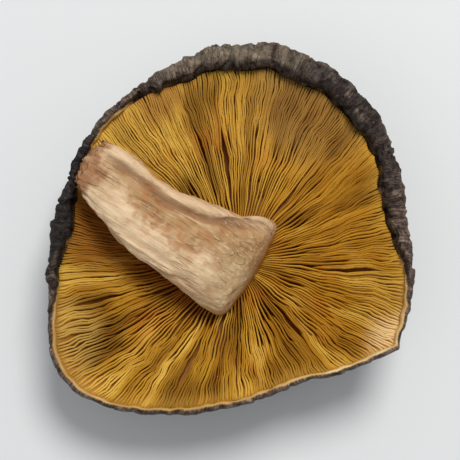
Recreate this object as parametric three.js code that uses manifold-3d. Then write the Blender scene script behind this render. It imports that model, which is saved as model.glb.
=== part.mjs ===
// A whole dried shiitake mushroom, lying on the crown of its cap with its gills up.
// Millimetres, +Z up. The cap, its gills and its stem grew as one body, so they are one solid.

import * as THREE from "three";
import { ParametricGeometry } from "three/addons/geometries/ParametricGeometry.js";
import { mergeVertices } from "three/addons/utils/BufferGeometryUtils.js";
import Module from "manifold-3d";

// Cap: each list goes anticlockwise round the cap in equal steps, from +X.
const LIP_RADIUS = [
  26.4, 27.2, 27.8, 28.2, 27.3, 26.0, 25.2, 25.2,
  26.2, 28.4, 33.0, 29.8, 26.8, 25.6, 27.6, 28.4,
];
const CREST_HEIGHT = [
  15.0, 15.8, 16.4, 16.6, 16.2, 15.0, 13.6, 13.2,
  14.4, 13.8, 12.4, 13.0, 13.8, 14.4, 14.0, 14.8,
];
// How far the margin rolls in over the gills: wide at the back, next to nothing in front.
const CURL_WIDTH = [
  2.8, 3.2, 3.4, 3.6, 3.4, 2.6, 0.8, 1.2,
  3.0, 1.0, 0.3, 0.3, 0.3, 0.3, 0.3, 0.6,
];
// One corner of the lip is drawn out to a point and turned up.
const CORNER_ANGLE = (322.5 * Math.PI) / 180;
const CORNER_SPREAD = (9 * Math.PI) / 180;
const CORNER_REACH = 2.7;
const CORNER_RISE = 1.0;
const CROWN_FLAT_RADIUS = 8; // the pressed patch on the crown that the mushroom rests on
const CROWN_SWELL = 0.75; // below 1 the skin climbs away from the flat patch sooner
const GILL_CENTRE_HEIGHT = 8.0;
const GILL_DISH = 2.4; // power of the gill face's rise from the stem to the lip
const GILL_FOLDS = 48; // coarse pleats that stand for the gills
const GILL_FOLD_DEPTH = 0.9;

// Margin: a round bead in section, which starts under the lip and ends at the cap's widest.
const LIP_THICKNESS = 0.9;
const BEAD_HALF_HEIGHT = 0.8;
const BEAD_RISE_PER_CURL = 0.25;
const BEAD_START = (210 * Math.PI) / 180;

// Stem: it springs from STEM_FOOT and leans over the gills along STEM_HEADING.
const STEM_FOOT = new THREE.Vector2(2.8, -5.4);
const STEM_HEADING = (148.6 * Math.PI) / 180;
// Distance from the foot, left edge, right edge, underside and top at each station.
const STEM_STATIONS = [
  [-1.8, -7.4, 6.4, 6.4, 12.0],
  [0.0, -8.9, 7.3, 6.0, 13.4],
  [4.8, -8.7, 5.5, 6.8, 15.0],
  [9.2, -8.6, 4.1, 10.6, 15.8],
  [14.0, -8.1, 3.3, 12.0, 16.2],
  [19.0, -7.0, 3.9, 12.8, 16.8],
  [23.5, -5.5, 4.2, 13.6, 17.2],
  [27.4, -4.2, 3.8, 14.4, 17.6],
];
const STEM_SQUARENESS = 0.75; // below 1 the section fills out towards a rounded box

const SEGMENTS_ROUND = 2 * GILL_FOLDS;
const GILL_STEPS = 6;
const BEAD_STEPS = 5;
const SKIN_STEPS = 8;
const STEM_SEGMENTS_ROUND = 20;
const STEM_STEPS = 16;

// Smooth closed curve through values that stand in equal steps round the cap.
function around(values, angle) {
  const count = values.length;
  const place = THREE.MathUtils.euclideanModulo(angle / (2 * Math.PI), 1) * count;
  const first = Math.floor(place);
  const part = place - first;
  const [before, here, next, after] = [-1, 0, 1, 2].map((step) => {
    return values[(first + step + 2 * count) % count];
  });
  const bend = 2 * before - 5 * here + 4 * next - after;
  const twist = 3 * (here - next) + after - before;
  return here + 0.5 * part * (next - before + part * (bend + part * twist));
}

// 1 at the drawn-out corner of the lip, falling to 0 beside it.
function cornerShare(angle) {
  const away = THREE.MathUtils.euclideanModulo(angle - CORNER_ANGLE + Math.PI, 2 * Math.PI) - Math.PI;
  return Math.exp(-Math.abs(away) / CORNER_SPREAD);
}

// The cap's section at one angle, as [radius, height] from the gill centre over the margin
// and round the outside to the crown.
function capSection(angle) {
  const corner = cornerShare(angle);
  const lip = around(LIP_RADIUS, angle) + CORNER_REACH * corner;
  const crest = around(CREST_HEIGHT, angle) + CORNER_RISE * corner;
  const curl = around(CURL_WIDTH, angle);
  const beadHalfWidth = (curl + LIP_THICKNESS) / 2;
  const beadHalfHeight = BEAD_HALF_HEIGHT + BEAD_RISE_PER_CURL * curl;
  const bead = (turn) => [
    lip - beadHalfWidth + beadHalfWidth * Math.cos(turn),
    crest - beadHalfHeight + beadHalfHeight * Math.sin(turn),
  ];

  const [gillEdge, gillEdgeHeight] = bead(BEAD_START);
  const section = [];
  for (let step = 0; step < GILL_STEPS; step += 1) {
    const reach = step / GILL_STEPS;
    const rise = (gillEdgeHeight - GILL_CENTRE_HEIGHT) * reach ** GILL_DISH;
    section.push([gillEdge * reach, GILL_CENTRE_HEIGHT + rise]);
  }
  for (let step = 0; step < BEAD_STEPS; step += 1) {
    section.push(bead(BEAD_START * (1 - step / BEAD_STEPS)));
  }
  const widestHeight = crest - beadHalfHeight;
  for (let step = 0; step <= SKIN_STEPS; step += 1) {
    const turn = (Math.PI / 2) * (1 - step / SKIN_STEPS);
    section.push([
      CROWN_FLAT_RADIUS + (lip - CROWN_FLAT_RADIUS) * Math.sin(turn),
      widestHeight * (1 - Math.cos(turn)) ** CROWN_SWELL,
    ]);
  }
  section.push([0, 0]);
  return section;
}

// Pleats fade out at the gill centre and at the lip.
function foldHeight(station, segment) {
  const reach = station / GILL_STEPS;
  if (reach === 0 || reach >= 1) return 0;
  const side = segment % 2 === 0 ? 0.5 : -0.5;
  return GILL_FOLD_DEPTH * side * Math.sin(Math.PI * reach);
}

function capGeometry() {
  const stations = GILL_STEPS + BEAD_STEPS + SKIN_STEPS + 1;
  const surface = (along, across, point) => {
    const segment = Math.round(along * SEGMENTS_ROUND) % SEGMENTS_ROUND;
    const angle = -(segment / SEGMENTS_ROUND) * 2 * Math.PI;
    const station = Math.round(across * stations);
    const [radius, height] = capSection(angle)[station];
    const lift = foldHeight(station, segment);
    point.set(radius * Math.cos(angle), radius * Math.sin(angle), height + lift);
  };
  return new ParametricGeometry(surface, SEGMENTS_ROUND, stations);
}

// One curve for each column of the stem's stations, read at a share of its length.
const stemCurves = [1, 2, 3, 4].map((column) => {
  const points = STEM_STATIONS.map((row) => new THREE.Vector3(row[0], row[column], 0));
  return new THREE.CatmullRomCurve3(points);
});

function stemGeometry() {
  const run = new THREE.Vector2(Math.cos(STEM_HEADING), Math.sin(STEM_HEADING));
  const signedPower = (value) => Math.sign(value) * Math.abs(value) ** STEM_SQUARENESS;
  const surface = (along, across, point) => {
    const step = Math.round(across * STEM_STEPS);
    const isEnd = step === 0 || step === STEM_STEPS;
    const share = THREE.MathUtils.clamp((step - 1) / (STEM_STEPS - 2), 0, 1);
    const [left, right, under, top] = stemCurves.map((curve) => curve.getPoint(share));
    const turn = -Math.round(along * STEM_SEGMENTS_ROUND) * ((2 * Math.PI) / STEM_SEGMENTS_ROUND);
    const size = isEnd ? 0 : 0.5;
    const sideways = (left.y + right.y) / 2 + size * (right.y - left.y) * signedPower(Math.cos(turn));
    const height = (under.y + top.y) / 2 + size * (top.y - under.y) * signedPower(Math.sin(turn));
    point.set(
      STEM_FOOT.x + run.x * left.x + run.y * sideways,
      STEM_FOOT.y + run.y * left.x - run.x * sideways,
      height,
    );
  };
  return new ParametricGeometry(surface, STEM_SEGMENTS_ROUND, STEM_STEPS);
}

const wasm = await Module();
wasm.setup();

// A closed solid from a surface: its shared vertices are merged and its collapsed faces dropped.
function solidOf(geometry) {
  geometry.deleteAttribute("normal");
  geometry.deleteAttribute("uv");
  const merged = mergeVertices(geometry, 1e-4);
  const corners = merged.index.array;
  const faces = [];
  for (let first = 0; first < corners.length; first += 3) {
    const [a, b, c] = corners.slice(first, first + 3);
    if (a !== b && b !== c && c !== a) faces.push(a, b, c);
  }
  return new wasm.Manifold(new wasm.Mesh({
    numProp: 3,
    vertProperties: Float32Array.from(merged.attributes.position.array),
    triVerts: Uint32Array.from(faces),
  }));
}

function geometryOf(solid) {
  const mesh = solid.getMesh();
  const geometry = new THREE.BufferGeometry();
  geometry.setAttribute("position", new THREE.BufferAttribute(mesh.vertProperties, 3));
  geometry.setIndex(new THREE.BufferAttribute(mesh.triVerts, 1));
  return geometry;
}

// Puts the origin at the bottom centre of the box.
function seat(geometry) {
  geometry.computeBoundingBox();
  const { min, max } = geometry.boundingBox;
  geometry.translate(-(min.x + max.x) / 2, -(min.y + max.y) / 2, -min.z);
  geometry.computeVertexNormals();
  return geometry;
}

const driedMushroom = new THREE.MeshStandardMaterial({
  color: 0x9a7030,
  roughness: 0.85,
  metalness: 0,
});
const body = solidOf(capGeometry()).add(solidOf(stemGeometry()));
const mushroom = new THREE.Mesh(seat(geometryOf(body)), driedMushroom);
mushroom.name = "shiitake_mushroom";

const group = new THREE.Group();
group.add(mushroom);
export default group;
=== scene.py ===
"""A whole dried shiitake mushroom, lying on the crown of its cap with its gills up."""

import math

import bpy
import numpy as np
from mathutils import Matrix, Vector, noise


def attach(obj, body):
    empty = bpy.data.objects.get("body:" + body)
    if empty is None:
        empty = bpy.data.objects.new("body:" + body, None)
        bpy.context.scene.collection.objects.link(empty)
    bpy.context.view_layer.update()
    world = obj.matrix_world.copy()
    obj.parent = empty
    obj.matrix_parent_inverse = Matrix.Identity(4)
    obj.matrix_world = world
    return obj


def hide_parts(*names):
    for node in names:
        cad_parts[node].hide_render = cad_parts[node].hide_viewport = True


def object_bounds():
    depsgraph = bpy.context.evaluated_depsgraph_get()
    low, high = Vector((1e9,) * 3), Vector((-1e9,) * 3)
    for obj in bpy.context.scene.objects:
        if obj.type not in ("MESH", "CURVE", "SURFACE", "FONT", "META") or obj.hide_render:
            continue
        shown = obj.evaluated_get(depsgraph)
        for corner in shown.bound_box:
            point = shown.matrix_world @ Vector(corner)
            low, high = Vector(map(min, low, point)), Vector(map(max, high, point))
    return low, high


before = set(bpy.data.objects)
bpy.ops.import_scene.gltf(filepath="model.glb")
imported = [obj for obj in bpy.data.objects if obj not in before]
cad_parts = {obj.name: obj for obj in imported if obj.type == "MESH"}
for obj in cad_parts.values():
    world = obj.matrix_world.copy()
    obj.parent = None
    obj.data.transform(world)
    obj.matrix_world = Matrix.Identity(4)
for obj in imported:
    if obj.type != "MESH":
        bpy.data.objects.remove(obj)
cad_low, cad_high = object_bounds()

NODE = "shiitake_mushroom"
BODY = "root"
MM = 0.001
TURN = 2 * math.pi

# Vector noise starts from the clock unless it is given a seed.
noise.seed_set(7)

# Cap, in millimetres: each list goes anticlockwise round the cap in equal steps, from +X.
LIP_RADIUS = [
    26.4, 27.2, 27.8, 28.2, 27.3, 26.0, 25.2, 25.2,
    26.2, 28.4, 33.0, 29.8, 26.8, 25.6, 27.6, 28.4,
]
CREST_HEIGHT = [
    15.0, 15.8, 16.4, 16.6, 16.2, 15.0, 13.6, 13.2,
    14.4, 13.8, 12.4, 13.0, 13.8, 14.4, 14.0, 14.8,
]
CURL_WIDTH = [
    2.8, 3.2, 3.4, 3.6, 3.4, 2.6, 0.8, 1.2,
    3.0, 1.0, 0.3, 0.3, 0.3, 0.3, 0.3, 0.6,
]
# One corner of the lip is drawn out to a point and turned up.
CORNER_ANGLE = math.radians(322.5)
CORNER_SPREAD = math.radians(9)
CORNER_REACH = 2.7 * MM
CORNER_RISE = 1.0 * MM
CROWN_FLAT_RADIUS = 8 * MM
CROWN_SWELL = 0.75
GILL_CENTRE_HEIGHT = 8.0 * MM
GILL_DISH = 2.4
GILL_DEPTH = 2.2 * MM  # how far the plates stand above the flesh
LIP_THICKNESS = 0.9 * MM
BEAD_HALF_HEIGHT = 0.8 * MM
BEAD_RISE_PER_CURL = 0.25
BEAD_START = math.radians(210)
FLESH_BARE = -0.2 * MM  # flesh left bare beside the gills where the margin is rolled in
FLESH_SHOWN = 1.25 * MM  # and where the lip is thin
GILL_POLE = np.array([1.5, -4.5]) * MM  # the gills run out from under the stem's foot

CAP_COLUMNS = 620
CEILING_ROWS = 10
BEAD_ROWS = 34
SKIN_ROWS = 98
CROWN_ROWS = 10

# Stem, in millimetres: distance from the foot, left edge, right edge, underside and top.
STEM_FOOT = np.array([2.8, -5.4]) * MM
STEM_HEADING = math.radians(148.6)
STEM_STATIONS = [
    [-1.8, -7.4, 6.4, 6.4, 12.0],
    [0.0, -8.9, 7.3, 6.0, 13.4],
    [4.8, -8.7, 5.5, 6.8, 15.0],
    [9.2, -8.6, 4.1, 10.6, 15.8],
    [14.0, -8.1, 3.3, 12.0, 16.2],
    [19.0, -7.0, 3.9, 12.8, 16.8],
    [23.5, -5.5, 4.2, 13.6, 17.2],
    [27.4, -4.2, 3.8, 14.4, 17.6],
]
STEM_SQUARENESS = 0.75
STEM_COLUMNS = 144
STEM_ROWS = 170
STEM_FACE_ROWS = 14
STEM_END_ROUNDING = 0.7 * MM
FOOT_SLOPE = 0.9 * MM  # how far the top of the foot stands back from where it meets the gills

PLATES = 432
PLATE_ROWS = 18
# Places where the dried gill layer has split: share of a turn, inner and outer reach, half gap.
SPLITS = [
    (0.262, 0.30, 0.72, 0.0040),
    (0.300, 0.55, 0.80, 0.0030),
    (0.700, 0.55, 0.90, 0.0026),
    (0.845, 0.40, 0.75, 0.0030),
    (0.120, 0.35, 0.60, 0.0026),
    (0.575, 0.60, 0.95, 0.0024),
    (0.955, 0.45, 0.90, 0.0030),
    (0.655, 0.35, 0.60, 0.0022),
]
SPLIT_SPREAD = 0.02  # share of a turn over which the plates beside a split are pushed away

# Stains on the gills, with painted shade and a painted highlight among them: centre and radius in
# millimetres, strength and colour.
GILL_STAINS_AND_PAINTED_LIGHT = [
    ((12.0, 20.0), 13.0, 0.55, (150, 110, 64)),
    ((-12.0, 23.0), 8.5, 0.60, (158, 98, 50)),
    # painted shade and brown colour on the gills between the stem and the rim
    ((-19.5, -1.5), 8.5, 0.75, (128, 72, 16)),
    ((-24.5, -17.0), 8.0, 0.50, (222, 184, 96)),
    # painted highlight on the pale flesh of the turned-up corner
    ((23.5, -16.5), 5.0, 0.80, (244, 208, 150)),
]
# Dark patches on the skin: centre, outer and inner radius and waver in millimetres, strength, colour.
CAP_DARK_PATCHES = [
    # painted shade: near-black on the rim at the left
    ((-26.5, 4.0, 13.0), 16.0, 8.0, 8.0, 0.9, (16, 11, 12)),
    # a darker patch on the rim behind to the right
    ((19.0, 15.5, 14.0), 18.0, 6.0, 10.0, 0.6, (32, 22, 22)),
]

CAMERA_ELEVATION = math.radians(78)
CAMERA_LENS = 80
CAMERA_SENSOR = 36
SHARE_OF_VIEW = 0.80  # of the picture's width that the mushroom takes up
LIGHT_TARGET = (0, 0, 0.01)
FLOOR_HALF_WIDTH = 3.0


def curve_through(values, place, closed):
    """A smooth curve through evenly spaced values, read at places counted in steps."""
    values = np.asarray(values, float)
    count = len(values)
    first = np.floor(place).astype(int)
    if not closed:
        first = np.clip(first, 0, count - 2)
    part = place - first
    steps = [first + step for step in (-1, 0, 1, 2)]
    wrapped = [step % count if closed else np.clip(step, 0, count - 1) for step in steps]
    before, here, after, later = (values[step] for step in wrapped)
    bend = 2 * before - 5 * here + 4 * after - later
    twist = 3 * (here - after) + later - before
    return here + 0.5 * part * (after - before + part * (bend + part * twist))


def around(values, angle):
    """A list that goes round the cap, read at angles and brought to metres."""
    return curve_through(values, (angle / TURN % 1) * len(values), True) * MM


def smooth_step(low, high, value):
    """0 below low, 1 above high and an even curve between."""
    share = np.clip((value - low) / (high - low), 0, 1)
    return share * share * (3 - 2 * share)


def field(function, points):
    """The function's value at every point of an array whose last axis is x, y, z."""
    flat = points.reshape(-1, 3)
    return np.array([function(Vector(point)) for point in flat]).reshape(points.shape[:-1])


def cap_centre():
    """The middle of the flat patch on the crown, from the CAD solid."""
    points = np.array([vertex.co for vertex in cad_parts[NODE].data.vertices])
    patch = points[points[:, 2] < 0.01 * MM]
    return ((patch.min(0) + patch.max(0)) / 2)[:2]


CENTRE = cap_centre()


class Margin:
    """The rolled margin of the cap at a row of angles."""

    def __init__(self, angle):
        away = (angle - CORNER_ANGLE + math.pi) % TURN - math.pi
        corner = np.exp(-np.abs(away) / CORNER_SPREAD)
        ring = np.stack([np.cos(angle), np.sin(angle), 0 * angle], axis=-1)

        def sway(cycles, salt):
            return field(lambda p: noise.noise(p * cycles + Vector((0, 0, salt))), ring)

        curl = around(CURL_WIDTH, angle)
        rolled = smooth_step(0.5 * MM, 2.5 * MM, curl)
        curl = curl + rolled * (0.9 * MM * sway(5, 3) + 0.5 * MM * sway(13, 8))
        self.angle = angle
        self.lip = around(LIP_RADIUS, angle) + CORNER_REACH * corner
        self.lip = self.lip + 0.35 * MM * sway(6, 1) + 0.22 * MM * sway(19, 2)
        self.crest = around(CREST_HEIGHT, angle) + CORNER_RISE * corner + 0.45 * MM * sway(5, 5)
        self.half_width = (curl + LIP_THICKNESS) / 2
        self.half_height = BEAD_HALF_HEIGHT + BEAD_RISE_PER_CURL * curl
        self.thinness = 1 - smooth_step(0.4 * MM, 1.6 * MM, curl)

    def bead(self, turn):
        """Points on the round bead of the margin: 0 at its widest, BEAD_START beside the gills."""
        radius = self.lip - self.half_width + self.half_width * np.cos(turn)
        height = self.crest - self.half_height + self.half_height * np.sin(turn)
        return self.place(radius, height)

    def place(self, radius, height):
        """Points at these angles, with the given distance from the middle and height."""
        x = radius * np.cos(self.angle)
        y = radius * np.sin(self.angle)
        return np.stack([x, y, np.broadcast_to(height, x.shape)], axis=-1)

    def gill_face(self, reach):
        """The level that the edges of the gills reach, from their pole (0) to the lip (1)."""
        edge = self.bead(BEAD_START)
        plan = GILL_POLE + (edge[..., :2] - GILL_POLE) * reach
        rise = (edge[..., 2] - GILL_CENTRE_HEIGHT) * reach**GILL_DISH
        sag = field(lambda p: noise.noise(p / (9 * MM)), np.column_stack([plan, 0 * rise]))
        height = GILL_CENTRE_HEIGHT + rise + 0.7 * MM * sag * math.sin(math.pi * reach)
        return np.column_stack([plan, height])


def flesh_drop(reach):
    """How far below the gills' edges the flesh lies, least at the stem and at the lip."""
    return GILL_DEPTH * (0.45 + 0.55 * smooth_step(0.1, 0.5, reach) - 0.8 * smooth_step(0.75, 1.0, reach))


def outward(rows):
    """Directions away from the solid, square to each column of a grid of rings."""
    along = np.gradient(rows, axis=0)
    across = np.roll(rows, -1, axis=1) - np.roll(rows, 1, axis=1)
    normal = np.cross(along, across)
    return normal / np.maximum(np.linalg.norm(normal, axis=-1, keepdims=True), 1e-12)


def skin_relief(rows, near_margin):
    """Furrows of the dried skin, 0 on the ridges to 1 in the furrows, and its fine crinkles."""
    def warp(point, size):
        return point + 0.45 * size * noise.noise_vector(point / size)

    def wrinkles(size, sharpness):
        swing = field(lambda p: noise.noise(warp(p, size * MM) / (size * MM)), rows)
        return 1 - smooth_step(0.0, sharpness, np.abs(swing))

    strength = smooth_step(-0.35, 0.35, field(lambda p: noise.noise(p / (6 * MM)), rows))
    coarse = wrinkles(4.6, 0.14) * (0.5 + 0.5 * strength)
    coarse = np.maximum(coarse, wrinkles(2.6, 0.14) * (0.8 - 0.5 * strength))
    fine = field(lambda p: noise.turbulence(warp(p, 2 * MM) / (1.7 * MM), 3, True), rows)
    bend = field(lambda p: noise.noise(p / (2.6 * MM)), rows)
    angle = np.arctan2(rows[..., 1], rows[..., 0]) + 0.045 * bend

    def pleats(cycles, height_scale):
        across = [np.cos(angle) * cycles, np.sin(angle) * cycles, rows[..., 2] / height_scale]
        return np.abs(field(noise.noise, np.stack(across, axis=-1))) * 2

    wide = 1 - smooth_step(0.0, 0.26, pleats(7, 8 * MM))
    narrow = 1 - smooth_step(0.0, 0.36, pleats(18, 4 * MM))
    pleated = np.maximum(wide * (0.5 + 0.5 * strength), narrow * (0.75 - 0.5 * strength))
    return coarse * (1 - near_margin) + pleated * near_margin, fine


def cap_rings():
    """Rings of points from the gill pole over the margin and the skin to the crown."""
    angle = np.arange(CAP_COLUMNS) / CAP_COLUMNS * TURN
    margin = Margin(angle)
    ceiling = []
    for row in range(1, CEILING_ROWS):
        reach = row / CEILING_ROWS
        face = margin.gill_face(reach)
        face[:, 2] -= flesh_drop(reach)
        ceiling.append(face)
    bead = [margin.bead(BEAD_START * (1 - row / BEAD_ROWS)) for row in range(BEAD_ROWS)]
    widest = margin.crest - margin.half_height
    skin = []
    for row in range(SKIN_ROWS + 1):
        turn = math.pi / 2 * (1 - row / SKIN_ROWS)
        radius = CROWN_FLAT_RADIUS + (margin.lip - CROWN_FLAT_RADIUS) * math.sin(turn)
        skin.append(margin.place(radius, widest * (1 - math.cos(turn)) ** CROWN_SWELL))
    crown = []
    for row in range(1, CROWN_ROWS):
        radius = CROWN_FLAT_RADIUS * (1 - row / CROWN_ROWS) * np.ones(CAP_COLUMNS)
        crown.append(margin.place(radius, 0.0))
    return margin, np.array(ceiling), np.array(bead), np.array(skin), np.array(crown)


def skin_mask(margin, bead_turn, ragged):
    """1 on the skin, 0 on the flesh, which shows for a little way out from the gills."""
    from_gills = (BEAD_START - bead_turn) * (margin.half_width + margin.half_height) / 2
    bare = FLESH_BARE + (FLESH_SHOWN - FLESH_BARE) * margin.thinness
    return smooth_step(-0.25 * MM, 0.25 * MM, from_gills - bare + 0.35 * MM * ragged)


def skin_depth(rows, furrow, fine, fullness):
    """How far the dried skin has sunk below the smooth cap, least on the pressed crown."""
    dent = field(lambda p: noise.fractal(p / (11 * MM), 1.0, 2.0, 3), rows)
    depth = 0.55 * MM * furrow * (0.4 + 0.6 * fullness) + 0.30 * MM * fine
    return depth + 0.9 * MM * np.abs(dent) * fullness


def make_cap():
    """The cap: its flesh above the gills, the rolled margin and the skin down to the crown."""
    margin, *parts = cap_rings()
    rows = np.concatenate(parts)
    first_bead, first_skin, first_crown, count = np.cumsum([len(part) for part in parts])
    row = np.arange(count)[:, None]
    past_gills = row >= first_bead
    bead_turn = BEAD_START * (1 - np.clip(row - first_bead, 0, BEAD_ROWS) / BEAD_ROWS)
    ragged = field(lambda p: noise.noise(p / (1.7 * MM)), rows)
    is_skin = skin_mask(margin, bead_turn, ragged) * past_gills
    down_skin = np.clip((row - first_skin) / SKIN_ROWS, 0, 1)
    near_margin = (1 - smooth_step(0.10, 0.42, down_skin)) * np.ones_like(ragged)

    furrow, fine = skin_relief(rows, near_margin)
    fullness = 1 - 0.75 * smooth_step(first_crown - 30, first_crown, row)
    depth = skin_depth(rows, furrow, fine, fullness) * (1 - 0.65 * margin.thinness * near_margin)
    depth = depth * is_skin + 0.14 * MM * (ragged + 0.4) * (1 - is_skin) * past_gills
    rows = rows - outward(rows) * depth[..., None]
    rows[..., 2] = np.maximum(rows[..., 2], 0)
    rows[..., :2] += CENTRE

    pole_height = GILL_CENTRE_HEIGHT - GILL_DEPTH
    poles = [(*(GILL_POLE + CENTRE), pole_height), (*CENTRE, 0.0)]
    attributes = {
        "skin": is_skin,
        "bead": smooth_step(first_bead - 1, first_bead + 1, row),
        "furrow": furrow,
        "fine": fine,
        "margin": near_margin,
        "inner": smooth_step(math.radians(95), math.radians(160), bead_turn),
    }
    return closed_surface("cap", rows, poles, attributes)


def closed_surface(name, rows, poles, attributes):
    """A closed mesh over a grid of rings, with a pole at each end."""
    count, columns = rows.shape[:2]
    points = np.concatenate([rows.reshape(-1, 3), np.array(poles)])
    faces = []
    for column in range(columns):
        after = (column + 1) % columns
        faces.append((len(points) - 2, column, after))
        for row in range(count - 1):
            here = row * columns
            ahead = here + columns
            faces.append((here + column, ahead + column, ahead + after, here + after))
        last = (count - 1) * columns
        faces.append((last + column, len(points) - 1, last + after))
    mesh = bpy.data.meshes.new(name)
    mesh.from_pydata(points.tolist(), [], faces)
    for label, values in attributes.items():
        grid = np.broadcast_to(values, (count, columns))
        ends = [grid[0].mean(), grid[-1].mean()]
        layer = mesh.attributes.new(label, "FLOAT", "POINT")
        layer.data.foreach_set("value", np.append(grid.ravel(), ends).astype(np.float32))
    mesh.shade_smooth()
    piece = bpy.data.objects.new(name, mesh)
    bpy.context.scene.collection.objects.link(piece)
    return piece


def stem_profile():
    """Rings along the stem: how far along each one stands and its share of the full section."""
    first, last = STEM_STATIONS[0][0] * MM, STEM_STATIONS[-1][0] * MM
    face = np.arange(1, STEM_FACE_ROWS) / STEM_FACE_ROWS
    bulge = STEM_END_ROUNDING * face**4
    body = np.linspace(0, 1, STEM_ROWS)
    foot_end, tip_end = first + STEM_END_ROUNDING, last - STEM_END_ROUNDING
    along = np.concatenate([first + bulge, foot_end + body * (tip_end - foot_end), (last - bulge)[::-1]])
    size = np.concatenate([face, np.ones(STEM_ROWS), face[::-1]])
    return along, size


def stem_sections(along):
    """The left, right, under and top lines of the stem at the given distances."""
    columns = [np.array([station[column] for station in STEM_STATIONS]) for column in range(5)]
    dense = np.linspace(0, len(STEM_STATIONS) - 1, 400)
    place = np.interp(along, curve_through(columns[0], dense, False) * MM, dense)
    return [(curve_through(column, place, False) * MM)[:, None] for column in columns[1:]]


def dip(away, width):
    """1 on a line, falling to 0 beside it."""
    return np.exp(-((away / width) ** 2))


def drawn_out(local, length, width):
    """Noise in cells of the given length along the stem and width across it, in millimetres."""
    return field(lambda p: noise.noise(Vector((p.x / length, p.y / width, p.z / width)) / MM), local)


def stem_lines(local, right, share, upper):
    """The grooves along the stem's upper right edge and the ridge beside them, 1 at their middle."""
    along, sideways = local[..., 0], local[..., 1]
    wander = 0.35 * MM * field(lambda p: noise.noise(Vector((p.x / 5, 0, 0)) / MM), local)
    from_edge = right - sideways + wander
    ridge = dip(from_edge - 1.1 * MM, 1.0 * MM)
    whole = 1 - smooth_step(0.80, 0.97, share)
    crease = dip(from_edge - 2.7 * MM, 0.6 * MM) * smooth_step(-1 * MM, 2 * MM, along) * whole
    knot = dip(from_edge - 1.5 * MM - 0.10 * along, 0.4 * MM) * smooth_step(8 * MM, 5 * MM, along)
    return np.clip(crease + knot, 0, 1) * upper, ridge * (0.3 + 0.7 * whole) * upper


def stem_plan(along, sideways):
    """Ground coordinates of points given along the stem and to the right of its run."""
    heading = np.array([math.cos(STEM_HEADING), math.sin(STEM_HEADING)])
    beside = np.array([heading[1], -heading[0]])
    return STEM_FOOT + along[..., None] * heading + sideways[..., None] * beside


def make_stem():
    """The bent stem: rings along its run, from the foot to the torn tip."""
    along, size = stem_profile()
    left, right, under, top = stem_sections(along)
    share = ((along - along[0]) / (along[-1] - along[0]))[:, None]
    along, size = along[:, None], size[:, None]
    turn = np.arange(STEM_COLUMNS) / STEM_COLUMNS * TURN
    cosine, sine = np.cos(turn)[None], np.sin(turn)[None]
    side = np.sign(cosine) * np.abs(cosine) ** STEM_SQUARENESS
    lift = np.sign(sine) * np.abs(sine) ** STEM_SQUARENESS
    sideways = (left + right) / 2 + size * (right - left) / 2 * side
    height = (under + top) / 2 + size * (top - under) / 2 * lift

    local = np.stack(np.broadcast_arrays(along, sideways, height), axis=-1)
    upper = np.clip(sine, 0, 1) ** 0.5
    lines, ridge = stem_lines(local, right, share, upper)
    height = height + 0.45 * MM * ridge - 0.62 * MM * lines

    fibres = drawn_out(local, 9, 0.8)
    threads = drawn_out(local, 4, 0.3)
    lumps = field(lambda p: noise.fractal(p / (5 * MM), 1.0, 2.0, 3), local)
    scabs = field(lambda p: noise.fractal(p / (1.5 * MM) + Vector((5, 3, 1)), 1.0, 2.0, 2), local)
    torn = smooth_step(0.80, 1.0, share)
    tear = 0.7 * MM * fibres + 0.25 * MM * threads - 0.2 * MM
    above_gills = np.clip((height - GILL_CENTRE_HEIGHT) / (5 * MM), 0, 1)
    sloped = smooth_step(6 * MM, -1 * MM, along) * above_gills
    along = along + torn * tear + FOOT_SLOPE * sloped

    rows = np.concatenate([stem_plan(along, sideways), height[..., None]], axis=-1)
    swell = 0.16 * MM * fibres + 0.08 * MM * threads + 0.42 * MM * lumps
    folds = np.abs(drawn_out(local, 14, 1.7))
    folded = (1 - upper * (1 - 0.3 * torn)) * smooth_step(0, 7 * MM, along)
    swell = swell - 0.45 * MM * (1 - smooth_step(0.0, 0.25, folds)) * folded
    swell = (swell - 0.06 * MM) * smooth_step(0.3, 1.0, size)
    rows = rows + outward(rows) * swell[..., None]
    rows[..., :2] += CENTRE
    poles = [rows[0].mean(0), rows[-1].mean(0)]
    attributes = {
        "along": share,
        "across": (sideways - left) / (right - left),
        "fibre": fibres,
        "scab": scabs,
        "crease": lines,
        "ridge": ridge,
        "low": smooth_step(10.6 * MM, 8.2 * MM, height) * smooth_step(11 * MM, 4 * MM, along),
    }
    return closed_surface("stem", rows, poles, attributes)


def colour(red, green, blue):
    """A colour given as it looks on a screen, 0 to 255, as a node wants it."""
    return (*((channel / 255) ** 2.2 for channel in (red, green, blue)), 1.0)


class Value:
    """One output of a node. Arithmetic on it adds Math nodes to its tree."""

    def __init__(self, tree, socket):
        self.tree = tree
        self.socket = socket

    def also(self, name):
        """Another output of the same node."""
        return Value(self.tree, self.socket.node.outputs[name])

    def apply(self, operation):
        """A Math node that takes this value alone, such as ABSOLUTE."""
        return self.tree.math(operation, self)

    def __add__(self, other):
        return self.tree.math("ADD", self, other)

    def __radd__(self, other):
        return self.tree.math("ADD", other, self)

    def __sub__(self, other):
        return self.tree.math("SUBTRACT", self, other)

    def __rsub__(self, other):
        return self.tree.math("SUBTRACT", other, self)

    def __mul__(self, other):
        return self.tree.math("MULTIPLY", self, other)

    def __rmul__(self, other):
        return self.tree.math("MULTIPLY", other, self)

    def __truediv__(self, other):
        return self.tree.math("DIVIDE", self, other)

    def __rtruediv__(self, other):
        return self.tree.math("DIVIDE", other, self)

    def __mod__(self, other):
        return self.tree.math("FLOORED_MODULO", self, other)

    def __neg__(self):
        return self.tree.math("MULTIPLY", self, -1.0)


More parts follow.
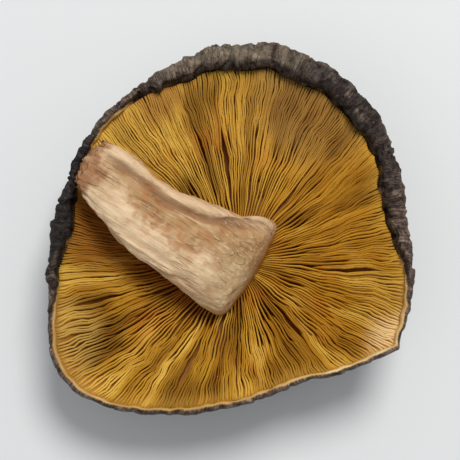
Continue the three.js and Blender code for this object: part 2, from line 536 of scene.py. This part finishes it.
class Tree:
    """Adds nodes to one node tree."""

    def __init__(self, tree):
        self.tree = tree

    def node(self, kind, settings=None, inputs=None, output=0):
        made = self.tree.nodes.new(kind)
        for name, setting in (settings or {}).items():
            setattr(made, name, setting)
        for key, given in (inputs or {}).items():
            if isinstance(given, Value):
                self.tree.links.new(given.socket, made.inputs[key])
            else:
                made.inputs[key].default_value = given
        return Value(self, made.outputs[output]) if made.outputs else None

    def math(self, operation, *values):
        return self.node("ShaderNodeMath", {"operation": operation}, dict(enumerate(values)))

    def mix(self, factor, first, second):
        return self.node("ShaderNodeMix", {"data_type": "RGBA"}, {0: factor, 6: first, 7: second}, 2)

    def coats(self, base, *layers):
        """Lays colours over a base in turn: each layer is a mask and a colour, 0 to 255."""
        for mask, tone in layers:
            base = self.mix(mask, base, colour(*tone))
        return base

    def ease(self, value, low, high, start=0.0, end=1.0):
        """Goes smoothly from the start to the end as the value goes from low to high."""
        settings = {"interpolation_type": "SMOOTHSTEP"}
        inputs = {"Value": value, "From Min": low, "From Max": high, "To Min": start, "To Max": end}
        return self.node("ShaderNodeMapRange", settings, inputs)

    def noise(self, vector, scale, detail=2.0, roughness=0.5, distortion=0.0):
        inputs = {"Vector": vector, "Scale": scale, "Detail": detail}
        inputs.update({"Roughness": roughness, "Distortion": distortion})
        return self.node("ShaderNodeTexNoise", {}, inputs)

    def vector(self, operation, first, second):
        return self.node("ShaderNodeVectorMath", {"operation": operation}, {0: first, 1: second})

    def near(self, place, centre, outer, inner, sway):
        """1 within the inner distance of a point, 0 past the outer one, in millimetres.

        What sways the edge in and out is in metres.
        """
        middle = tuple(part * MM for part in centre)
        away = self.vector("DISTANCE", place, middle).also("Value")
        return self.ease(away + sway, outer * MM, inner * MM)

    def attribute(self, name):
        return self.node("ShaderNodeAttribute", {"attribute_name": name}, output="Fac")


def gill_face_guide():
    """The surface that the gills' edges follow, laid out by turn and reach."""
    columns, rows = 192, 24
    turns = np.arange(columns + 1) / columns
    margin = Margin(turns * TURN)
    reaches = 0.04 + 0.96 * np.arange(rows + 1) / rows
    points = np.concatenate([margin.gill_face(reach) for reach in reaches])
    points[:, :2] += CENTRE
    faces = []
    for row in range(rows):
        for column in range(columns):
            here = row * (columns + 1) + column
            ahead = here + columns + 1
            faces.append((here, ahead, ahead + 1, here + 1))
    mesh = bpy.data.meshes.new("gill_face_guide")
    mesh.from_pydata(points.tolist(), [], faces)
    layout = mesh.uv_layers.new(name="layout")
    spots = np.array([(turn, reach) for reach in reaches for turn in turns])
    corner = np.array([loop.vertex_index for loop in mesh.loops])
    layout.data.foreach_set("uv", spots[corner].ravel())
    guide = bpy.data.objects.new("gill_face_guide", mesh)
    bpy.context.scene.collection.objects.link(guide)
    return guide


def gill_sockets(tree):
    """Adds the tree's named inputs and gives them back by name."""
    wanted = {
        "Geometry": "NodeSocketGeometry",
        "Plates": "NodeSocketInt",
        "Plate Rows": "NodeSocketInt",
        "Depth": "NodeSocketFloat",
        "Thickness": "NodeSocketFloat",
        "Bundling": "NodeSocketFloat",
        "Lean": "NodeSocketFloat",
        "Raggedness": "NodeSocketFloat",
        "Pole": "NodeSocketVector",
        "Seed": "NodeSocketInt",
        "Finish": "NodeSocketMaterial",
    }
    for name, kind in wanted.items():
        tree.interface.new_socket(name=name, in_out="INPUT", socket_type=kind)
    tree.interface.new_socket(name="Geometry", in_out="OUTPUT", socket_type="NodeSocketGeometry")
    start = tree.nodes.new("NodeGroupInput")
    group = Tree(tree)
    return group, {name: Value(group, start.outputs[name]) for name in wanted}


def loose_plates(group, given):
    """A stack of boxes, one for each plate, that stand two apart up the Z axis."""
    plate_inputs = {"Size": (1, 1, 1), "Vertices X": given["Plate Rows"]}
    plate = group.node("GeometryNodeMeshCube", {}, plate_inputs)
    stack = {"Count": given["Plates"], "Offset": (0, 0, 2)}
    line = group.node("GeometryNodeMeshLine", {}, stack)
    copies = group.node("GeometryNodeInstanceOnPoints", {}, {"Points": line, "Instance": plate})
    return group.node("GeometryNodeRealizeInstances", {}, {"Geometry": copies})


def on_guide(group, given, turn, reach):
    """The point of the guide surface at a share of a turn and a reach."""
    guide = {
        "Mesh": given["Geometry"],
        "Value": group.node("GeometryNodeInputPosition"),
        2: group.node("GeometryNodeInputNamedAttribute", {"data_type": "FLOAT_VECTOR"}, {0: "layout"}),
        3: group.node("ShaderNodeCombineXYZ", {}, {0: turn % 1.0, 1: reach}),
    }
    return group.node("GeometryNodeSampleUVSurface", {"data_type": "FLOAT_VECTOR"}, guide)


def bent_turn(group, given, share, reach, plain):
    """Where a plate stands round the cap once bundles, sweeps and splits have moved it."""
    bundles = group.noise(plain, 330.0, 1.0) - 0.5
    sweeps = group.noise(plain, 90.0, 1.0) - 0.5
    turn = share + given["Bundling"] * bundles + 1.6 * given["Bundling"] * sweeps
    for at, inner, outer, gap in SPLITS:
        away = (share - at + 0.5) % 1.0 - 0.5
        fade = (away.apply("ABSOLUTE") * (-1 / SPLIT_SPREAD)).apply("EXPONENT")
        open_at = group.ease(reach, inner - 0.1, inner + 0.1) * group.ease(reach, outer, outer - 0.12)
        turn = turn + away.apply("SIGN") * fade * open_at * gap
    return turn


def square_to_run(group, given, face):
    """The X and Y of the direction across a plate, which runs straight out from the gills' pole."""
    outward_line = group.vector("SUBTRACT", face, given["Pole"])
    flat = group.vector("MULTIPLY", outward_line, (1, 1, 0))
    direction = group.node("ShaderNodeVectorMath", {"operation": "NORMALIZE"}, {0: flat})
    parts = group.node("ShaderNodeSeparateXYZ", {}, {0: direction})
    return -parts.also("Y"), parts


def placed_plates(group, given, body, position, kept):
    """Keeps the named values on the plates, moves them into place and gives them their finish."""
    for name, value in kept.items():
        body = group.node("GeometryNodeStoreNamedAttribute", {}, {0: body, "Name": name, "Value": value})
    body = group.node("GeometryNodeSetPosition", {}, {0: body, "Position": position})
    body = group.node("GeometryNodeSetShadeSmooth", {}, {0: body, "Shade Smooth": True})
    body = group.node("GeometryNodeRealizeInstances", {}, {0: body})
    return group.node("GeometryNodeSetMaterial", {}, {0: body, "Material": given["Finish"]})


def gill_tree():
    """Thin plates that run from the stem's foot to the lip along the guide surface."""
    tree = bpy.data.node_groups.new("gill_plates", "GeometryNodeTree")
    group, given = gill_sockets(tree)
    body = loose_plates(group, given)
    spot = group.node("ShaderNodeSeparateXYZ", {}, {0: group.node("GeometryNodeInputPosition")})
    number = (spot.also("Z") / 2.0).apply("ROUND")
    along = spot + 0.5
    side = spot.also("Y") * 2.0
    edge = spot.also("Z") - number * 2.0 + 0.5

    def chance(salt, low, high):
        inputs = {2: low, 3: high, "ID": number, "Seed": given["Seed"] + float(salt)}
        return group.node("FunctionNodeRandomValue", {"data_type": "FLOAT"}, inputs, 1)

    # Every other plate is short, and every other one of the rest is a little short.
    share = (number + chance(1, -0.25, 0.25)) / given["Plates"]
    odd = number % 2.0
    half = (1.0 - odd) * ((number % 4.0) / 2.0)
    start = 0.06 + odd * chance(2, 0.36, 0.64) + half * chance(3, 0.12, 0.42)
    reach = start + (1.0 - start) * along
    plain = on_guide(group, given, share, reach)
    face = on_guide(group, given, bent_turn(group, given, share, reach, plain), reach)
    x_across, y_across = square_to_run(group, given, face)

    tall = 0.15 + 0.85 * group.ease(along, 0.0, 0.16)
    frayed = given["Raggedness"] * (group.noise(face, 700.0, 2.0) - 0.55)
    uneven = given["Raggedness"] * chance(4, -1.2, 0.3)
    lean = given["Lean"] * (group.noise(face, 260.0, 2.0) - 0.5) * edge
    across = side * given["Thickness"] * (0.55 + 0.45 * reach) * (0.5 - 0.2 * edge) + lean
    waves = 2.2 * given["Raggedness"] * (group.noise(plain, 300.0, 2.0) - 0.55)
    top = given["Depth"] * (tall - 1.0) + (frayed + uneven + waves) * tall * group.ease(reach, 1.04, 0.85)
    shallow = group.ease(reach, 0.5, 0.1, 0.0, 0.45)
    drop = given["Depth"] * (group.ease(reach, 0.75, 1.0, 1.15, 0.35) - shallow)
    lift = top * edge - drop * (1.0 - edge)
    offset = group.node("ShaderNodeCombineXYZ", {}, {0: across * x_across, 1: across * y_across, 2: lift})

    narrow = group.node("ShaderNodeCombineXYZ", {}, {0: share * 70.0, 1: reach * 2.5})
    wide = group.node("ShaderNodeCombineXYZ", {}, {0: share * 26.0, 1: reach * 1.6})
    kept = {
        "edge": edge,
        "reach": reach,
        "tint": chance(5, 0.0, 1.0),
        "streak": group.noise(narrow, 1.0, 2.0),
        "band": group.noise(wide, 1.0, 2.0),
    }
    body = placed_plates(group, given, body, group.vector("ADD", face, offset), kept)
    end = tree.nodes.new("NodeGroupOutput")
    tree.links.new(body.socket, end.inputs[0])
    return tree


def make_gills(finish):
    """The gill plates as one plain mesh, made by the node tree on its guide surface."""
    guide = gill_face_guide()
    modifier = guide.modifiers.new("gill_plates", "NODES")
    tree = gill_tree()
    modifier.node_group = tree
    settings = {
        "Plates": PLATES,
        "Plate Rows": PLATE_ROWS,
        "Depth": GILL_DEPTH,
        "Thickness": 0.42 * MM,
        "Bundling": 0.009,
        "Lean": 0.9 * MM,
        "Raggedness": 0.32 * MM,
        "Pole": (*(GILL_POLE + CENTRE), 0.0),
        "Seed": 7,
        "Finish": finish,
    }
    for socket in tree.interface.items_tree:
        if socket.in_out == "INPUT" and socket.name in settings:
            modifier[socket.identifier] = settings[socket.name]
    evaluated = guide.evaluated_get(bpy.context.evaluated_depsgraph_get())
    mesh = bpy.data.meshes.new_from_object(evaluated)
    mesh.name = "gills"
    piece = bpy.data.objects.new("gills", mesh)
    bpy.context.scene.collection.objects.link(piece)
    guide.modifiers.remove(modifier)
    bpy.data.objects.remove(guide)
    return piece


def new_finish(name):
    """An empty material, a Tree to fill it and the point that it is read at."""
    finish = bpy.data.materials.new(name)
    finish.use_nodes = True
    finish.node_tree.nodes.clear()
    tree = Tree(finish.node_tree)
    place = tree.node("ShaderNodeTexCoord", output="Object")
    return finish, tree, place


def close_finish(tree, shader_inputs):
    shader = tree.node("ShaderNodeBsdfPrincipled", {}, shader_inputs)
    tree.node("ShaderNodeOutputMaterial", {}, {"Surface": shader})


def bump(tree, height, distance, strength):
    return tree.node("ShaderNodeBump", {}, {"Height": height, "Distance": distance, "Strength": strength})


def flat_place(tree, place):
    """The point on the ground plane below a place."""
    return tree.vector("MULTIPLY", place, (1, 1, 0))


def stem_axes(spot):
    """How far a point is along the stem from its foot, and to the right of its run."""
    foot_x, foot_y = (STEM_FOOT + CENTRE).tolist()
    run_x, run_y = math.cos(STEM_HEADING), math.sin(STEM_HEADING)
    out_x, out_y = spot - foot_x, spot.also("Y") - foot_y
    return out_x * run_x + out_y * run_y, out_x * run_y - out_y * run_x


def painted_stem_shade(tree, spot):
    """Painted shade: 1 on the gills beside the lower edge of the stem, where its shadow falls, falling to
    0 away from it.
    """
    along, sideways = stem_axes(spot)
    gap = 0.2 * along - 9.8 * MM - sideways
    near = tree.ease(gap, 2.0 * MM + 0.25 * along, 0.3 * MM) * tree.ease(sideways, 2 * MM, -2 * MM)
    return near * tree.ease(along, -1.5 * MM, 3 * MM)


def gill_finish():
    """Ochre gills, brown to the right, with dark and bright bands and stains, painted golden light behind
    and painted shade in front and beside the stem.
    """
    finish, tree, place = new_finish("gill_ochre")
    edge = tree.attribute("edge")
    reach = tree.attribute("reach")
    tint = tree.attribute("tint")
    streak = tree.attribute("streak")
    band = tree.attribute("band")
    patches = tree.noise(place, 120.0, 3.0)
    specks = tree.noise(place, 1400.0, 2.0)
    grain = tree.noise(place, 2200.0, 3.0)
    spot = tree.node("ShaderNodeSeparateXYZ", {}, {0: place})
    sway = patches - 0.5
    right = tree.ease(spot + 0.016 * sway, -0.008, 0.022)
    left = tree.ease(spot + 0.012 * sway, 0.010, -0.012)
    front = tree.ease(spot.also("Y") + 0.010 * sway, 0.004, -0.012)
    back = tree.ease(spot.also("Y") + 0.010 * sway, 0.002, 0.012) * (1.0 - right)
    gold = tree.mix(tint, colour(194, 146, 44), colour(216, 170, 68))
    brown = tree.mix(tint, colour(180, 124, 28), colour(198, 142, 44))
    base = tree.coats(
        tree.mix(right, gold, brown),
        # painted shade: darker toward the front; painted light: more golden toward the back
        (front * 0.5, (164, 114, 18)),
        (back * 0.45, (224, 180, 84)),
        (tree.ease(streak, 0.56, 0.36) * 0.6, (146, 92, 18)),
        (tree.ease(band, 0.50, 0.38) * (0.50 + 0.3 * left), (108, 66, 4)),
        (tree.ease(band, 0.52, 0.61) * (0.45 * front + 0.35 * left), (228, 186, 84)),
        (tree.ease(patches, 0.54, 0.74) * 0.45, (188, 112, 40)),
        (tree.ease(reach, 0.86, 1.0) * 0.3, (222, 178, 76)),
        (tree.ease(specks, 0.55, 0.75) * 0.3, (160, 104, 30)),
        # painted shade: darker, redder colour toward the foot of each plate, in the valleys between the
        # plates
        (tree.ease(edge, 0.85, 0.0), (166, 96, 26)),
        # painted shade: red-brown on the gills beside the stem's lower edge
        (painted_stem_shade(tree, spot) * 0.7, (150, 72, 18)),
    )
    flat = flat_place(tree, place)
    for centre, radius, strength, tone in GILL_STAINS_AND_PAINTED_LIGHT:
        near = tree.near(flat, (*centre, 0), radius, 0.35 * radius, radius * MM * sway)
        base = tree.coats(base, (near * strength, tone))
    close_finish(tree, {
        "Base Color": base,
        "Roughness": 0.80 + 0.15 * (grain - 0.5),
        "Specular IOR Level": 0.2,
        "Normal": bump(tree, grain, 0.06 * MM, 0.6),
    })
    return finish


def cap_finish():
    """Dark wrinkled skin, which gives way to pale flesh at the lip and beside the gills."""
    finish, tree, place = new_finish("cap_skin")
    skin = tree.attribute("skin")
    bead = tree.attribute("bead")
    furrow = tree.attribute("furrow")
    fine = tree.attribute("fine")
    margin = tree.attribute("margin")
    inner = tree.attribute("inner")
    broad = tree.noise(place, 75.0, 4.0, 0.6)
    cloud = tree.noise(place, 260.0, 4.0, 0.65)
    grain = tree.noise(place, 1500.0, 4.0, 0.7)
    flecks = tree.noise(place, 620.0, 3.0, 0.6)
    spot = tree.node("ShaderNodeSeparateXYZ", {}, {0: place})
    lines = skin_lines(tree, place, margin)
    back = tree.ease(spot.also("Y"), 0.018, 0.026) * (1.0 - inner)

    base = tree.coats(
        tree.mix(tree.ease(cloud, 0.35, 0.65), colour(56, 39, 31), colour(88, 67, 56)),
        (tree.ease(broad, 0.50, 0.72) * 0.7, (126, 104, 90)),
        (tree.ease(fine, 0.6, 0.15) * 0.45, (150, 130, 114)),
        (tree.ease(flecks, 0.60, 0.70) * (0.25 + 0.35 * margin), (180, 160, 134)),
        (tree.ease(furrow, 0.2, 0.85) * 0.8, (32, 21, 17)),
        (lines * 0.45, (34, 23, 19)),
        # painted reflection: a pale olive-grey sheen on the outer side of the rim behind
        (back * tree.ease(cloud, 0.40, 0.62) * 0.4, (150, 140, 116)),
    )
    for centre, outer, within, waver, strength, tone in CAP_DARK_PATCHES:
        near = tree.near(place, centre, outer, within, waver * MM * (broad - 0.5))
        base = tree.coats(base, (near * strength, tone))
    base = tree.coats(
        base,
        # painted shade: darker on the inner side of the rolled margin
        (tree.ease(inner + 0.8 * (cloud - 0.5), 0.2, 0.8) * 0.65, (28, 20, 18)),
        (tree.ease(grain, 0.5, 0.72) * 0.4, (44, 32, 27)),
    )
    lip = tree.coats(
        tree.mix(tree.ease(cloud, 0.35, 0.65), colour(240, 210, 154), colour(216, 172, 100)),
        (tree.ease(spot, 0.014, 0.0) * 0.65, (190, 142, 62)),
    )
    # deep amber-brown flesh under the gills, seen between the plates: its own colour, darkened as painted
    # shade
    flesh = tree.mix(bead, colour(150, 92, 18), lip)
    relief = grain + 0.6 * cloud - 1.6 * lines * skin
    close_finish(tree, {
        "Base Color": tree.mix(skin, flesh, base),
        "Roughness": 0.56 + 0.3 * (cloud - 0.4),
        "Specular IOR Level": 0.4,
        "Normal": bump(tree, relief, 0.16 * MM, 0.8),
    })
    return finish


def skin_lines(tree, place, margin):
    """Thin creases that run out over the margin and fine crinkles elsewhere, 1 at their middle."""
    ray = tree.node("ShaderNodeVectorMath", {"operation": "NORMALIZE"}, {0: flat_place(tree, place)})
    rays = tree.vector("MULTIPLY", ray, (26, 26, 0))
    drift = tree.vector("MULTIPLY", place, (170, 170, 330))
    pleats = tree.noise(tree.vector("ADD", rays, drift), 1.0, 3.0, 0.6) - 0.5
    creases = tree.ease(pleats.apply("ABSOLUTE"), 0.05, 0.0)
    crumple = tree.noise(place, 520.0, 3.0, 0.55, 0.6) - 0.5
    crinkles = tree.ease(crumple.apply("ABSOLUTE"), 0.05, 0.0)
    return creases * margin + crinkles * (1.0 - 0.5 * margin)


def stem_finish():
    """Pale fibrous flesh, tanned along its right side, with a brown torn tip."""
    finish, tree, place = new_finish("stem_flesh")
    along = tree.attribute("along")
    across = tree.attribute("across")
    fibre = tree.attribute("fibre")
    crease = tree.attribute("crease")
    ridge = tree.attribute("ridge")
    scab = tree.attribute("scab")
    low = tree.attribute("low")
    cloud = tree.noise(place, 240.0, 4.0, 0.6)
    grain = tree.noise(place, 1800.0, 4.0, 0.7)
    spot = tree.node("ShaderNodeSeparateXYZ", {}, {0: place})
    run, sideways = stem_axes(spot)
    drawn = {0: run * 0.07, 1: sideways + 0.4 * MM * cloud, 2: spot.also("Z")}
    threads = tree.noise(tree.node("ShaderNodeCombineXYZ", {}, drawn), 2400.0, 3.0, 0.6)
    cracks = tree.noise(tree.node("ShaderNodeCombineXYZ", {}, drawn), 900.0, 2.0) - 0.5
    cracks = tree.ease(cracks.apply("ABSOLUTE"), 0.035, 0.0) * tree.ease(cloud, 0.45, 0.6)

    sway = cloud - 0.5
    tanned = tree.ease(across + 0.5 * sway, 0.30, 0.62) * tree.ease(along, 0.95, 0.72, 0.35, 1.0)
    foot = tree.ease(along + 0.1 * sway, 0.26, 0.08) * tree.ease(across, 0.75, 0.45)
    belly = tree.ease(along, 0.08, 0.3) * tree.ease(along, 0.85, 0.6) * tree.ease(across, 0.15, 0.4)
    blotch = tree.ease(scab + 1.2 * sway, -0.05, 0.45)
    tip = tree.ease(along + 0.20 * sway + 0.05 * scab - 0.06 * ridge, 0.87, 0.97)
    pale = tree.mix(tree.ease(cloud, 0.3, 0.7), colour(234, 206, 168), colour(214, 182, 142))
    tan = tree.mix(tree.ease(cloud, 0.3, 0.7), colour(190, 152, 108), colour(172, 132, 88))
    base = tree.coats(
        tree.mix(tanned, pale, tan),
        (foot * 0.7, (180, 152, 110)),
        (tree.ease(fibre, 0.1, -0.6) * 0.4, (168, 122, 84)),
        (blotch * belly * 0.6, (178, 116, 68)),
        # painted highlight along the raised ridge
        (ridge * 0.75, (240, 210, 172)),
        # painted shade in the creases
        (crease * 0.72, (124, 82, 54)),
        (tree.ease(grain, 0.5, 0.8) * 0.3, (162, 118, 82)),
        (tree.ease(threads, 0.5, 0.75) * 0.45, (164, 122, 84)),
        (tree.ease(threads, 0.48, 0.3) * 0.35, (244, 220, 184)),
        (cracks * 0.28, (120, 80, 52)),
        (tip * 0.8, (142, 88, 50)),
        (tree.ease(low + 0.5 * sway, 0.1, 0.9) * 0.85, (160, 106, 44)),
    )
    relief = 0.6 * grain + 0.5 * cloud - threads - 0.9 * cracks
    close_finish(tree, {
        "Base Color": base,
        "Roughness": 0.70 + 0.2 * (grain - 0.5),
        "Specular IOR Level": 0.3,
        "Normal": bump(tree, relief, 0.16 * MM, 0.7),
    })
    return finish


def add_floor():
    """A plain pale floor, much wider than the view."""
    finish, tree, place = new_finish("pale_floor")
    mottle = tree.noise(place, 9.0, 3.0)
    close_finish(tree, {
        "Base Color": tree.mix(mottle, colour(223, 226, 228), colour(228, 231, 233)),
        "Roughness": 0.8,
        "Specular IOR Level": 0.1,
    })
    mesh = bpy.data.meshes.new("floor")
    reach = FLOOR_HALF_WIDTH
    corners = [(-reach, -reach, 0), (reach, -reach, 0), (reach, reach, 0), (-reach, reach, 0)]
    mesh.from_pydata(corners, [], [(0, 1, 2, 3)])
    mesh.materials.append(finish)
    floor = bpy.data.objects.new("floor", mesh)
    bpy.context.scene.collection.objects.link(floor)


def add_light(name, place, size, power, tone):
    """A round soft light that points at the mushroom."""
    lamp = bpy.data.lights.new(name, "AREA")
    lamp.shape = "DISK"
    lamp.size = size
    lamp.energy = power
    lamp.color = tone
    holder = bpy.data.objects.new(name, lamp)
    holder.location = place
    holder.rotation_euler = (Vector(LIGHT_TARGET) - Vector(place)).to_track_quat("-Z", "Y").to_euler()
    bpy.context.scene.collection.objects.link(holder)


def add_studio():
    """Soft daylight all round, a window behind to the right and a weak fill."""
    world = bpy.data.worlds.new("soft_daylight")
    world.use_nodes = True
    background = world.node_tree.nodes["Background"]
    background.inputs["Color"].default_value = (0.98, 0.99, 1.0, 1.0)
    background.inputs["Strength"].default_value = 0.36
    bpy.context.scene.world = world
    add_light("window", (0.11, 0.23, 0.47), size=0.24, power=2.1, tone=(1.0, 0.98, 0.95))
    add_light("fill", (-0.30, -0.30, 0.45), size=0.5, power=0.3, tone=(0.97, 0.98, 1.0))
    bpy.context.scene.view_settings.view_transform = "Standard"


def add_camera():
    """Looks down on the gills from a little in front, with the mushroom filling most of the view."""
    lens = bpy.data.cameras.new("camera")
    lens.lens = CAMERA_LENS
    lens.sensor_width = CAMERA_SENSOR
    span = max(cad_high.x - cad_low.x, cad_high.y - cad_low.y)
    distance = span / SHARE_OF_VIEW * lens.lens / lens.sensor_width
    middle = (cad_low + cad_high) / 2
    back = Vector((0, -math.cos(CAMERA_ELEVATION), math.sin(CAMERA_ELEVATION)))
    holder = bpy.data.objects.new("camera", lens)
    holder.location = middle + back * distance
    holder.rotation_euler = (-back).to_track_quat("-Z", "Y").to_euler()
    lens.clip_start = 0.01
    lens.clip_end = 20
    bpy.context.scene.collection.objects.link(holder)
    bpy.context.scene.camera = holder


def fit_to_body(piece, finish):
    """Gives a piece its finish and puts it in the place of the CAD solid."""
    piece.data.materials.clear()
    piece.data.materials.append(finish)
    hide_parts(NODE)
    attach(piece, BODY)


add_camera()
add_studio()
add_floor()
gill_ochre = gill_finish()
fit_to_body(make_cap(), cap_finish())
fit_to_body(make_gills(gill_ochre), gill_ochre)
fit_to_body(make_stem(), stem_finish())
